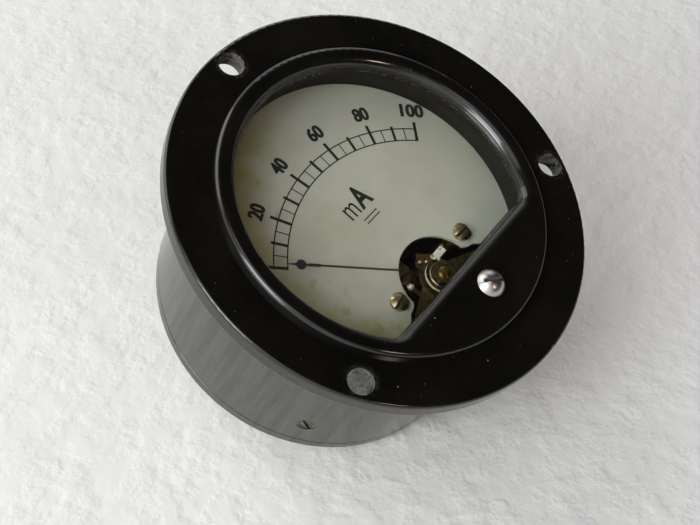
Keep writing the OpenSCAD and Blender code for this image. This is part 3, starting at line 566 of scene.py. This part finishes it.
def annulus(centre, inner, outer, low, high, steps=120):
    """A closed flat ring about a line parallel to Z, with its upper edges eased."""
    ease = min(0.04, (high - low) / 4)
    loop = [(inner, low), (outer, low), (outer, high - ease), (outer - ease, high), (inner + ease, high),
            (inner, high - ease)]
    n = len(loop)
    verts, faces = [], []
    for k in range(steps):
        a = 2 * math.pi * k / steps
        verts += [(centre[0] + r * math.cos(a), centre[1] + r * math.sin(a), z) for r, z in loop]
    for k in range(steps):
        k2 = (k + 1) % steps
        for i in range(n):
            j = (i + 1) % n
            faces.append((n * k + i, n * k2 + i, n * k2 + j, n * k + j))
    return verts, faces


def threaded_rod(centre, low, high, minor, major, pitch, tip, sides=36, per_pitch=8):
    """A helical vee thread from low to high with a turned-down tip at the low end."""
    tip_slope = 1.2
    verts = []
    steps = int((high - low) / pitch * per_pitch)
    for i in range(steps + 1):
        z = low + (high - low) * i / steps
        for k in range(sides):
            turn = ((z - low) / pitch - k / sides) % 1.0
            r = minor + (major - minor) * (1 - abs(2 * turn - 1))
            r = min(r, tip + (z - low) * tip_slope)
            a = 2 * math.pi * k / sides
            verts.append((centre[0] + r * math.cos(a), centre[1] + r * math.sin(a), z))
    return verts, stack_faces(steps + 1, sides)


# ---------- printed dial ----------
INK_LOW = DIAL_TOP - 0.005
INK_HIGH = DIAL_TOP + 0.02
SCALE_X, SCALE_Y = PIVOT_X - 0.25, PIVOT_Y - 0.63
SCALE_TURN = 0.6
SCALE_HALF = 43.4
ARC_IN, ARC_OUT = 24.07, 26.15
ARC_LINE = 0.19


def on_scale(radius, angle):
    """A point at an angle clockwise from 12 o'clock about the scale's own centre."""
    a = math.radians(angle)
    return SCALE_X + radius * math.sin(a), SCALE_Y + radius * math.cos(a)


def value_angle(value):
    return SCALE_TURN - SCALE_HALF + 2 * SCALE_HALF * value / 100


def arc_band(radius, steps=120):
    """The scale's printed arc at a radius, from 0 to 100."""
    verts = []
    for i in range(steps + 1):
        angle = value_angle(0) + (value_angle(100) - value_angle(0)) * i / steps
        for r in (radius - ARC_LINE / 2, radius + ARC_LINE / 2):
            x, y = on_scale(r, angle)
            verts += [(x, y, INK_LOW), (x, y, INK_HIGH)]
    return verts, strip_faces(steps)


def tick(value, inner, outer, width):
    a = math.radians(value_angle(value))
    dx, dy = math.cos(a) * width / 2, -math.sin(a) * width / 2
    x0, y0 = on_scale(inner, value_angle(value))
    x1, y1 = on_scale(outer, value_angle(value))
    outline = [(x0 - dx, y0 - dy), (x0 + dx, y0 + dy), (x1 + dx, y1 + dy), (x1 - dx, y1 - dy)]
    return slab(outline, INK_LOW, INK_HIGH)


def glyph(text, height, width, embolden):
    """Triangles of a word in the plain built-in face, scaled to a height and a width and centred."""
    curve = bpy.data.curves.new("glyph", "FONT")
    curve.body = text
    curve.size = 1.0
    curve.offset = embolden
    curve.resolution_u = 6
    holder = bpy.data.objects.new("glyph", curve)
    bpy.context.scene.collection.objects.link(holder)
    bpy.context.view_layer.update()
    mesh = bpy.data.meshes.new_from_object(holder)
    bpy.data.objects.remove(holder)
    points = [v.co.copy() for v in mesh.vertices]
    triangles = [tuple(p.vertices) for p in mesh.polygons]
    bpy.data.meshes.remove(mesh)
    xs, ys = [p.x for p in points], [p.y for p in points]
    kx = width / (max(xs) - min(xs))
    ky = height / (max(ys) - min(ys))
    cx, cy = (max(xs) + min(xs)) / 2, (max(ys) + min(ys)) / 2
    return [((p.x - cx) * kx, (p.y - cy) * ky) for p in points], triangles


def build_scale():
    """Two arcs with long ticks every 20, shorter ones every 10 and thin ones every 5."""
    foot = ARC_IN - 0.09
    parts = [arc_band(ARC_IN), arc_band(ARC_OUT)]
    for value in range(0, 101, 5):
        if value % 20 == 0:
            parts.append(tick(value, foot, 27.4, 0.48))
        elif value % 10 == 0:
            parts.append(tick(value, foot, 26.6, 0.44))
        else:
            parts.append(tick(value, ARC_IN, ARC_OUT, 0.15))
    make_piece("dial_scale", *join(parts), "ink", "case", "dial_paint")


def build_numerals():
    """Bold figures outside the scale; each is printed twice, side by side, to widen its strokes."""
    radius, height, digit_pitch, digit_gap = 29.5, 2.35, 1.36, 0.2
    embolden, stroke_shift, ink_step = 0.026, 0.07, 0.001
    parts = []
    for value in (20, 40, 60, 80, 100):
        word = str(value)
        points, triangles = glyph(word, height, digit_pitch * len(word) - digit_gap, embolden)
        x, y = on_scale(radius, value_angle(value))
        for i, shift in enumerate((-stroke_shift, stroke_shift)):
            bold = placed([(px + shift, py) for px, py in points], x, y, -value_angle(value))
            parts.append(thicken(bold, triangles, INK_LOW, INK_HIGH + ink_step * i))
    make_piece("dial_numerals", *join(parts), "ink", "case", "dial_paint")


def build_unit():
    """The unit, a small and a tall letter on one baseline, with two short lines under it."""
    baseline = 1.4
    line_x, line_y = 1.57, 0.09
    parts = []
    for letter, x, height, width, embolden in (("m", -1.75, 2.27, 2.37, 0.0), ("A", 1.2, 3.84, 2.86, 0.03)):
        points, triangles = glyph(letter, height, width, embolden)
        points = placed(points, x, baseline + height / 2, 0)
        parts.append(thicken(points, triangles, INK_LOW, INK_HIGH))
    for y in (0.25, -0.44):
        parts.append(slab(rectangle(-line_x, y - line_y, line_x, y + line_y), INK_LOW, INK_HIGH))
    make_piece("dial_unit", *join(parts), "ink", "case", "dial_paint")


# ---------- hairsprings ----------
def spiral_strip(inner, outer, turns, end, low, high):
    """A flat spring strip on edge, wound about the pivot; its end is an angle anticlockwise from +X."""
    thick, per_turn = 0.14, 90
    steps = int(turns * per_turn)
    verts = []
    for i in range(steps + 1):
        a = math.radians(end - 360 * turns + 360 * turns * i / steps)
        r = inner + (outer - inner) * i / steps
        for side in (-thick / 2, thick / 2):
            x, y = PIVOT_X + (r + side) * math.cos(a), PIVOT_Y + (r + side) * math.sin(a)
            verts += [(x, y, low), (x, y, high)]
    return verts, strip_faces(steps)


def build_hairsprings():
    """Spirals from the staff's collet to the lever's finger and to the lower anchor."""
    collet_r = 1.5
    finger = math.degrees(math.atan2(LEVER_Y - 0.95 - PIVOT_Y, LEVER_X - 0.4))
    for name, outer, turns, end, body in (
        ("upper_hairspring", 4.0, 3.5, finger, "lever"),
        ("lower_hairspring", 4.7, 4.0, 0.0, "case"),
    ):
        low, high = (corner.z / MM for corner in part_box(name))
        strip = spiral_strip(collet_r, outer, turns, end, low + 0.01, high - 0.01)
        piece = make_piece(name + "_strip", *strip, "copper", body, "bronze")
        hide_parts(name)


# ---------- terminal studs ----------
def build_studs():
    """Hexagon-headed terminal studs with a real thread on the free end."""
    minor_r, major_r, pitch, tip_r = 1.64, 1.99, 0.7, 1.45
    shank_r, overlap = 1.79, 0.2
    wire_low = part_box("terminal_wire_nuts")[0].z / MM
    for side in ("left", "right"):
        node = "terminal_stud_" + side
        low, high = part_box(node)
        centre = ((low.x + high.x) / 2 / MM, 0.0)
        bottom, top = low.z / MM, high.z / MM
        thread = threaded_rod(centre, bottom, wire_low + 2 * overlap, minor_r, major_r, pitch, tip_r)
        shank = lathe([(shank_r, wire_low + overlap), (shank_r, top - 1.7)], centre)
        head = lathe([(3.7, top - 1.8), (3.98, top - 1.65), (3.98, top - 0.25), (3.6, top)], centre, 6)
        piece = make_piece("stud_threaded_" + side, *join([thread, shank, head]), "brass", "case", "brass")
        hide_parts(node)


# ---------- pointer ----------
def half_width(along, bulb, tip):
    """Half the blade's width at a distance from the pivot: line, sleeve, round bulb, needle tip."""
    line, sleeve, sleeve_length, sleeve_ease = 0.11, 0.2, 1.9, 0.15
    bulb_r, neck, fillet_length = 0.75, 0.5, 0.16
    root, narrowing = 0.13, 0.09
    sleeve_end = bulb - bulb_r - 0.35
    ahead = along - bulb - neck
    if ahead > 0:
        taper = root - narrowing * ahead / (tip - bulb - neck)
        neck_half = math.sqrt(bulb_r ** 2 - neck ** 2)
        return taper + (neck_half - taper) * math.exp(-ahead / fillet_length)
    if abs(along - bulb) < bulb_r:
        return max(line, math.sqrt(bulb_r ** 2 - (along - bulb) ** 2))
    ease = min(along - (sleeve_end - sleeve_length), sleeve_end - along)
    return line + (sleeve - line) * max(0.0, min(1.0, ease / sleeve_ease))


def pointer_blade(start, bulb, tip, turn, low, high):
    """The long flat part, with coarse stops along the line and fine ones through the bulb and tip."""
    coarse, coarse_gap, fine_length, fine_steps = 0.4, 4.0, 3.2, 110
    fine = bulb - fine_length
    count = int((bulb - coarse_gap - start) / coarse)
    stops = [start - 0.1] + [start + coarse + coarse * i for i in range(count)]
    stops += [fine + (tip - fine) * i / fine_steps for i in range(fine_steps + 1)]
    verts = []
    for along in stops:
        w = half_width(along, bulb, tip)
        for x, y in placed([(-w, along), (w, along)], PIVOT_X, PIVOT_Y, turn):
            verts += [(x, y, low), (x, y, high)]
    return verts, strip_faces(len(stops) - 1)


def build_pointer():
    """The CAD pointer's own form, with the needle drawn out finely in front of the bulb."""
    arm_half, arm_start, arm_low, arm_high = 0.3, 0.95, 0.1, 0.4
    stem_half, stem_depth, blade_t = 0.2, 0.3, 0.2
    hub_inner, hub_outer, hub_h = 0.45, 1.05, 0.8
    bulb_to_tip, riser = 1.85, 5.6
    low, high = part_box("pointer")
    reach_x, reach_y = PIVOT_X - low.x / MM, high.y / MM - PIVOT_Y
    turn = math.degrees(math.atan2(reach_x, reach_y))
    tip = math.hypot(reach_x, reach_y)
    bulb = tip - bulb_to_tip
    bottom, top = low.z / MM, high.z / MM
    arm = rectangle(-arm_half, arm_start, arm_half, riser + stem_depth)
    stem = rectangle(-stem_half, riser, stem_half, riser + stem_depth)
    arm, stem = (placed(outline, PIVOT_X, PIVOT_Y, turn) for outline in (arm, stem))
    parts = [
        pointer_blade(riser, bulb, tip, turn, top - blade_t, top),
        slab(arm, bottom + arm_low, bottom + arm_high),
        slab(stem, bottom + arm_low, top),
        annulus((PIVOT_X, PIVOT_Y), hub_inner, hub_outer, bottom, bottom + hub_h),
    ]
    piece = make_piece("pointer_needle", *join(parts), "black", "moving_coil", "black_paint")
    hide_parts("pointer")


# ---------- small parts of the movement, seen through the dial's arch ----------
BOSS_HEIGHT = 1.25
BRIDGE_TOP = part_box("upper_bridge")[1].z / MM - BOSS_HEIGHT


def from_pivot(points):
    return [(PIVOT_X + point[0], PIVOT_Y + point[1], *point[2:]) for point in points]


def build_spring_tab():
    tab = [(-1.4, 2.5), (0.9, 2.7), (0.9, 3.5), (0.1, 4.3), (-0.9, 4.4), (-1.4, 3.8)]
    top = BRIDGE_TOP + 0.42
    make_piece("spring_tab", *slab(from_pivot(tab), BRIDGE_TOP + 0.02, top), "bronze", "case", "brass")
    large, small = from_pivot([(-0.55, 3.85), (0.35, 3.15)])
    pins = [dome(0.38, 0.55, large, top), dome(0.32, 0.42, small, top)]
    make_piece("tab_pins", *join(pins), "screw", "case", "nickel", smooth=True)


def build_coil_tag():
    tag = [(-4.9, 0.3), (-4.3, 0.3), (-4.4, 2.2), (-4.6, 2.8), (-5.1, 2.8), (-5.1, 2.2)]
    tag = slab(from_pivot(tag), BRIDGE_TOP + 0.02, BRIDGE_TOP + 0.3)
    make_piece("coil_tag", *tag, "bronze", "case", "nickel")


def build_solder():
    on_tag, on_lever = from_pivot([(-4.8, 2.4), (1.5, 2.5)])
    blob = dome(0.55, 0.55, on_tag, BRIDGE_TOP + 0.28)
    make_piece("solder_on_tag", *blob, "tin", "case", "nickel", smooth=True)
    drop = dome(0.22, 0.2, on_lever, LEVER_TOP - 0.02)
    make_piece("solder_on_lever", *drop, "tin", "lever", "nickel", smooth=True)


def build_friction_washer():
    washer = annulus((PIVOT_X, PIVOT_Y), 1.9, 2.12, LEVER_TOP + 0.02, LEVER_TOP + 0.2)
    make_piece("friction_washer", *washer, "nickel", "case", "nickel")


def build_leads():
    """Two fine wire ends on the lever's tag, and the lead on the coil's tag."""
    long_end = [(-0.3, -0.35, 0.05), (0.1, -0.3, 0.25), (0.2, -0.05, 0.15), (0.1, 0.1, -0.4)]
    short_end = [(-0.2, -0.2, 0.05), (-0.1, 0.1, 0.3), (-0.25, 0.4, -0.2)]
    ends = []
    for points, radius in ((long_end, 0.055), (short_end, 0.045)):
        ends.append(tube([(LEVER_X + x, LEVER_Y + y, LEVER_TOP + z) for x, y, z in points], radius))
    make_piece("lever_leads", *join(ends), "gold", "lever", "brass", smooth=True)
    route = [(-4.9, 2.6, 0.5), (-5.2, 3.1, 0.9), (-4.9, 3.8, 0.2), (-4.4, 4.1, -1.2)]
    route = from_pivot([(x, y, BRIDGE_TOP + z) for x, y, z in route])
    make_piece("coil_lead", *tube(route, 0.08), "copper", "case", "bronze", smooth=True)


# ---------- dust, dirt and painted shade ---
def build_rim_dust():
    """Flakes packed along the round part of the glass's edge."""
    flakes, corners = 420, 5
    edge_gap, spread, chord_gap = 0.07, 0.10, 1.2
    full_turn, corner_turn = 6.28, 1.257
    glass_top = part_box("window_glass")[1].z / MM
    parts = []
    for _ in range(flakes):
        a = math.radians(random.uniform(0, 360))
        r = WINDOW_R - edge_gap - abs(random.gauss(0, spread))
        x, y = r * math.cos(a), r * math.sin(a)
        if y < WINDOW_CHORD_Y + chord_gap:
            continue
        size = random.uniform(0.04, 0.13)
        turn = random.uniform(0, full_turn)
        outline = [(x + size * random.uniform(0.5, 1.2) * math.cos(turn + k * corner_turn),
                    y + size * random.uniform(0.5, 1.2) * math.sin(turn + k * corner_turn))
                   for k in range(corners)]
        parts.append(slab(outline, glass_top + 0.001, glass_top + random.uniform(0.02, 0.06)))
    make_piece("rim_dust", *join(parts), "dust", "case", "phenolic")


def build_seam_dirt():
    """A dark ring of painted shade in the seam between the barrel and the rear base."""
    half = 0.13
    ring = annulus((0, 0), BARREL_R - 0.25, BARREL_R - 0.02, SEAM_Z - half, SEAM_Z + half, 180)
    make_piece("seam_painted_shade", *ring, "soot", "case", "phenolic")


def build_slot_dirt():
    """Brown dirt and painted shade in the slots of the two dial screws."""
    length, width, depth, thick = 2.6, 0.5, 0.66, 0.04
    head_r = 1.45
    low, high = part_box("dial_screws")
    y = (low.y + high.y) / 2 / MM
    z = high.z / MM - depth
    bar = rectangle(-length / 2, -width / 2, length / 2, width / 2)
    parts = []
    for side, turn in ((-1, 10), (1, -6)):
        x = side * (high.x / MM - head_r)
        parts.append(slab(placed(bar, x, y, turn), z, z + thick))
    make_piece("slot_dirt_and_shade", *join(parts), "grime", "case", "brass")


# ---------- floor ----------
def floor_frame():
    """The meter lies tipped on the tips of its two studs and the rim at 6 o'clock."""
    rim = Vector((0.0, -base_high.x, base_low.z))
    tips = Vector((0.0, 0.0, stud_low.z))
    along = (tips - rim).normalized()
    normal = Vector((1, 0, 0)).cross(along).normalized()
    return rim, normal if normal.z > 0 else -normal


def build_floor():
    """A flat sheet under the meter; returns its upward normal."""
    size = 0.6
    rim, normal = floor_frame()
    u = Vector((1, 0, 0))
    v = normal.cross(u)
    corners = [rim + u * a * size + v * b * size for a, b in rectangle(-1, -1, 1, 1)]
    mesh = bpy.data.meshes.new("floor")
    mesh.from_pydata(corners, [], [(0, 1, 2, 3)])
    floor = bpy.data.objects.new("floor", mesh)
    bpy.context.scene.collection.objects.link(floor)
    mesh.materials.append(foam())
    return normal


# ---------- light ----------
# Name, azimuth on the floor anticlockwise from image right, height in degrees, distance, size, power, colour
LAMPS = (
    ("near_window", 231, 38, 0.9, (0.36, 0.5), 3.3, (0.9, 0.96, 1.0)),
    ("room_wall", 250, 62, 1.1, (0.8, 0.8), 2.2, (1.0, 0.995, 0.98)),
    ("far_window", 148, 42, 0.6, (0.5, 0.5), 1.3, (1.0, 0.99, 0.97)),
    ("low_fill", 224, 22, 0.7, (0.4, 0.2), 1.7, (1.0, 0.985, 0.97)),
    ("warm_lamp", -45, 31, 0.9, (0.1, 0.1), 0.55, (1.0, 0.72, 0.58)),
)


def area_lamp(name, towards, distance, size, power, colour):
    data = bpy.data.lights.new(name, "AREA")
    data.shape = "RECTANGLE"
    data.size, data.size_y = size
    data.energy = power
    data.color = colour
    lamp = bpy.data.objects.new(name, data)
    lamp.location = towards.normalized() * distance
    lamp.rotation_mode = "QUATERNION"
    lamp.rotation_quaternion = (-towards).to_track_quat("-Z", "Y")
    bpy.context.scene.collection.objects.link(lamp)


def build_world(right, up):
    """A white surround that is dark overhead and towards image right."""
    dimmest = 0.03
    world = bpy.data.worlds.new("studio")
    bpy.context.scene.world = world
    world.use_nodes = True
    tree = world.node_tree
    background = tree.nodes["Background"]
    coords = tree.nodes.new("ShaderNodeTexCoord")
    glow = tree.nodes.new("ShaderNodeMath")
    glow.operation = "MULTIPLY"
    for i, (axis, dark_from, dark_to) in enumerate(((up, 0.5, 0.85), (right, 0.0, 0.55))):
        dot = tree.nodes.new("ShaderNodeVectorMath")
        dot.operation = "DOT_PRODUCT"
        dot.inputs[1].default_value = axis
        tree.links.new(coords.outputs["Generated"], dot.inputs[0])
        fade = tree.nodes.new("ShaderNodeMapRange")
        fade.interpolation_type = "SMOOTHSTEP"
        fade.inputs["From Min"].default_value = dark_from
        fade.inputs["From Max"].default_value = dark_to
        fade.inputs["To Min"].default_value = 1.0
        fade.inputs["To Max"].default_value = dimmest
        tree.links.new(dot.outputs["Value"], fade.inputs["Value"])
        tree.links.new(fade.outputs["Result"], glow.inputs[i])
    tree.links.new(glow.outputs[0], background.inputs["Strength"])
    background.inputs["Color"].default_value = (1, 1, 1, 1)


def build_light(up):
    """Lamps and surround, placed from the floor's normal and the image's right-hand side."""
    right = (CAMERA_RIGHT - up * CAMERA_RIGHT.dot(up)).normalized()
    away = up.cross(right).normalized()
    for name, azimuth, elevation, distance, size, power, colour in LAMPS:
        a, e = math.radians(azimuth), math.radians(elevation)
        towards = math.cos(e) * (math.cos(a) * right + math.sin(a) * away) + math.sin(e) * up
        area_lamp(name, towards, distance, size, power, colour)
    build_world(right, up)


# ---------- the scene ----------
add_camera()
bpy.context.scene.view_settings.view_transform = "Standard"
finish_nodes()
build_scale()
build_numerals()
build_unit()
build_hairsprings()
build_studs()
build_pointer()
build_spring_tab()
build_coil_tag()
build_solder()
build_friction_washer()
build_leads()
build_rim_dust()
build_seam_dirt()
build_slot_dirt()
build_light(build_floor())
